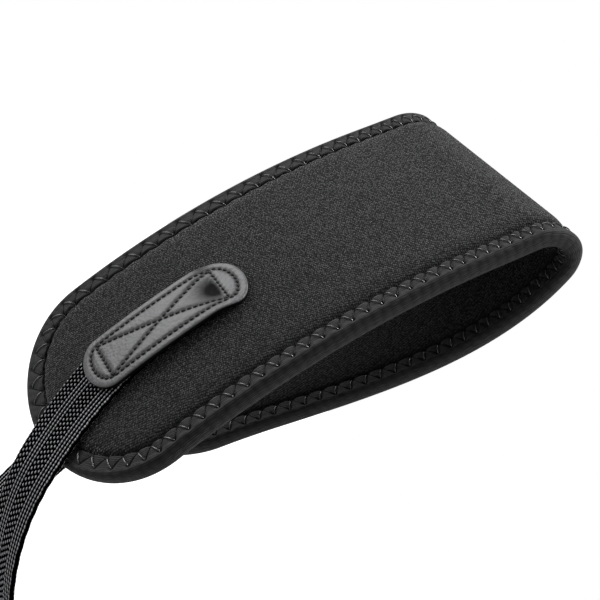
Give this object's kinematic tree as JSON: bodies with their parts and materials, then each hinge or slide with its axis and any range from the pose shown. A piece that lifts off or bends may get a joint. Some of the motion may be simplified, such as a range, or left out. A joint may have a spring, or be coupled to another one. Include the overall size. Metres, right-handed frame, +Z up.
{
  "type": "camera neck strap",
  "caption": "Bound neoprene shoulder pad with a stitched leather tab at each end and flat webbing that runs down to an adjustable loop for a camera's strap ring.",
  "frame": {"origin": "the pad's underside at the top of the ridge that the strap hangs over", "axes": "+Z up as worn, X across the strap, -Y towards the front end with the pictured tab, +Y towards the rear end"},
  "size_m": [0.1083, 0.0553, 0.4202],
  "materials": {
    "knit_neoprene": "fine jersey knit over foam, matt with a soft sheen",
    "binding_tape": "stretch tape, matt, zigzag stitched",
    "tab_leather": "smooth black leather, satin",
    "nylon_webbing": "ribbed nylon weave, glossy threads",
    "slider_plastic": "moulded, fine satin"
  },
  "bodies": {
    "root": {"neck_pad": "knit_neoprene", "edge_binding": "binding_tape", "tab_front": "tab_leather", "webbing_front": "nylon_webbing", "slider_front": "slider_plastic", "tab_rear": "tab_leather", "webbing_rear": "nylon_webbing", "slider_rear": "slider_plastic"}
  },
  "joints": []
}
